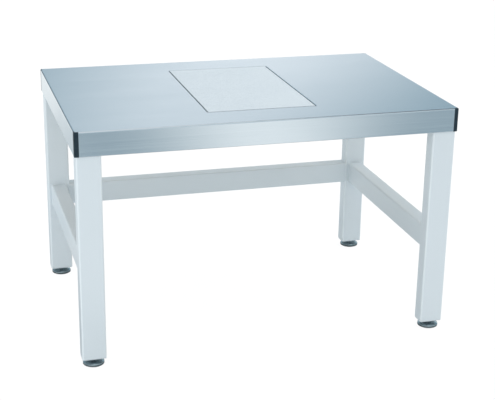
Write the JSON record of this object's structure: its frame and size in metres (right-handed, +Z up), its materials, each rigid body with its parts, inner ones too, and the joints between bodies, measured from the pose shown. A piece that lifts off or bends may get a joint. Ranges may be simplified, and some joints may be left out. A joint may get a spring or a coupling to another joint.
{
  "type": "weighing balance table",
  "caption": "Weighing balance table: stainless worktop on a welded tube frame, with a stone slab on rubber dampers in a cut-out, and levelling feet.",
  "frame": {"origin": "on the floor, under the middle of the table, with the feet screwed in", "axes": "+Z up, +X to the right of someone who sits at the table, +Y to the rear, where the rear stretcher is"},
  "size_m": [1.2, 0.808, 0.75],
  "materials": {
    "worktop_steel": "brushed",
    "corner_plastic": "matt black moulding",
    "core_board": "raw board",
    "slab_stone": "honed",
    "frame_paint": "satin powder coat",
    "damper_rubber": "moulded",
    "zinc_steel": "zinc plated",
    "end_cap_plastic": "pale grey moulding",
    "foot_chrome": "polished",
    "foot_rubber": "moulded"
  },
  "bodies": {
    "frame": {"worktop_sheet": "worktop_steel", "worktop_board": "core_board", "damper_studs": "zinc_steel", "damper_nuts": "zinc_steel", "bracket_screws": "zinc_steel", "foot_bushes": "zinc_steel", "dampers": "damper_rubber", "bearer_left": "frame_paint", "bearer_right": "frame_paint", "stretcher_left": "frame_paint", "stretcher_right": "frame_paint", "stretcher_rear": "frame_paint", "rail_front": "frame_paint", "rail_rear": "frame_paint", "rail_left": "frame_paint", "rail_right": "frame_paint", "rail_brackets": "frame_paint", "corner_cap_fl": "corner_plastic", "leg_fl": "frame_paint", "leg_cap_fl": "end_cap_plastic", "corner_cap_fr": "corner_plastic", "leg_fr": "frame_paint", "leg_cap_fr": "end_cap_plastic", "corner_cap_rl": "corner_plastic", "leg_rl": "frame_paint", "leg_cap_rl": "end_cap_plastic", "corner_cap_rr": "corner_plastic", "leg_rr": "frame_paint", "leg_cap_rr": "end_cap_plastic"},
    "slab": {"slab": "slab_stone"},
    "foot_fl_base": {"foot_fl_cup": "foot_chrome", "foot_fl_pad": "foot_rubber"},
    "foot_fl_stud": {"foot_fl_stud": "zinc_steel"},
    "foot_fl_nut": {"foot_fl_nut": "zinc_steel"},
    "foot_fr_base": {"foot_fr_cup": "foot_chrome", "foot_fr_pad": "foot_rubber"},
    "foot_fr_stud": {"foot_fr_stud": "zinc_steel"},
    "foot_fr_nut": {"foot_fr_nut": "zinc_steel"},
    "foot_rl_base": {"foot_rl_cup": "foot_chrome", "foot_rl_pad": "foot_rubber"},
    "foot_rl_stud": {"foot_rl_stud": "zinc_steel"},
    "foot_rl_nut": {"foot_rl_nut": "zinc_steel"},
    "foot_rr_base": {"foot_rr_cup": "foot_chrome", "foot_rr_pad": "foot_rubber"},
    "foot_rr_stud": {"foot_rr_stud": "zinc_steel"},
    "foot_rr_nut": {"foot_rr_nut": "zinc_steel"}
  },
  "joints": [
    {"name": "slab_lift", "type": "slide", "parent": "frame", "child": "slab", "axis": [0, 0, 1], "range_m": [0, 0.15]},
    {"name": "foot_fl_level", "type": "slide", "parent": "frame", "child": "foot_fl_base", "axis": [0, 0, -1], "range_m": [0, 0.02]},
    {"name": "foot_fl_screw", "type": "hinge", "parent": "foot_fl_base", "child": "foot_fl_stud", "pos_m": [-0.5585, -0.371, 0.0152], "axis": [0, 0, -1], "range_deg": [0, 4800]},
    {"name": "foot_fl_lock", "type": "hinge", "parent": "frame", "child": "foot_fl_nut", "pos_m": [-0.5585, -0.371, 0.0205], "axis": [0, 0, 1], "range_deg": [0, 165]},
    {"name": "foot_fr_level", "type": "slide", "parent": "frame", "child": "foot_fr_base", "axis": [0, 0, -1], "range_m": [0, 0.02]},
    {"name": "foot_fr_screw", "type": "hinge", "parent": "foot_fr_base", "child": "foot_fr_stud", "pos_m": [0.5585, -0.371, 0.0152], "axis": [0, 0, -1], "range_deg": [0, 4800]},
    {"name": "foot_fr_lock", "type": "hinge", "parent": "frame", "child": "foot_fr_nut", "pos_m": [0.5585, -0.371, 0.0205], "axis": [0, 0, 1], "range_deg": [0, 165]},
    {"name": "foot_rl_level", "type": "slide", "parent": "frame", "child": "foot_rl_base", "axis": [0, 0, -1], "range_m": [0, 0.02]},
    {"name": "foot_rl_screw", "type": "hinge", "parent": "foot_rl_base", "child": "foot_rl_stud", "pos_m": [-0.5585, 0.371, 0.0152], "axis": [0, 0, -1], "range_deg": [0, 4800]},
    {"name": "foot_rl_lock", "type": "hinge", "parent": "frame", "child": "foot_rl_nut", "pos_m": [-0.5585, 0.371, 0.0205], "axis": [0, 0, 1], "range_deg": [0, 165]},
    {"name": "foot_rr_level", "type": "slide", "parent": "frame", "child": "foot_rr_base", "axis": [0, 0, -1], "range_m": [0, 0.02]},
    {"name": "foot_rr_screw", "type": "hinge", "parent": "foot_rr_base", "child": "foot_rr_stud", "pos_m": [0.5585, 0.371, 0.0152], "axis": [0, 0, -1], "range_deg": [0, 4800]},
    {"name": "foot_rr_lock", "type": "hinge", "parent": "frame", "child": "foot_rr_nut", "pos_m": [0.5585, 0.371, 0.0205], "axis": [0, 0, 1], "range_deg": [0, 165]}
  ],
  "couplings": [
    {"joint": "foot_fl_screw", "follows": "foot_fl_level", "rad_per_m": 4188.8},
    {"joint": "foot_fr_screw", "follows": "foot_fr_level", "rad_per_m": 4188.8},
    {"joint": "foot_rl_screw", "follows": "foot_rl_level", "rad_per_m": 4188.8},
    {"joint": "foot_rr_screw", "follows": "foot_rr_level", "rad_per_m": 4188.8}
  ]
}
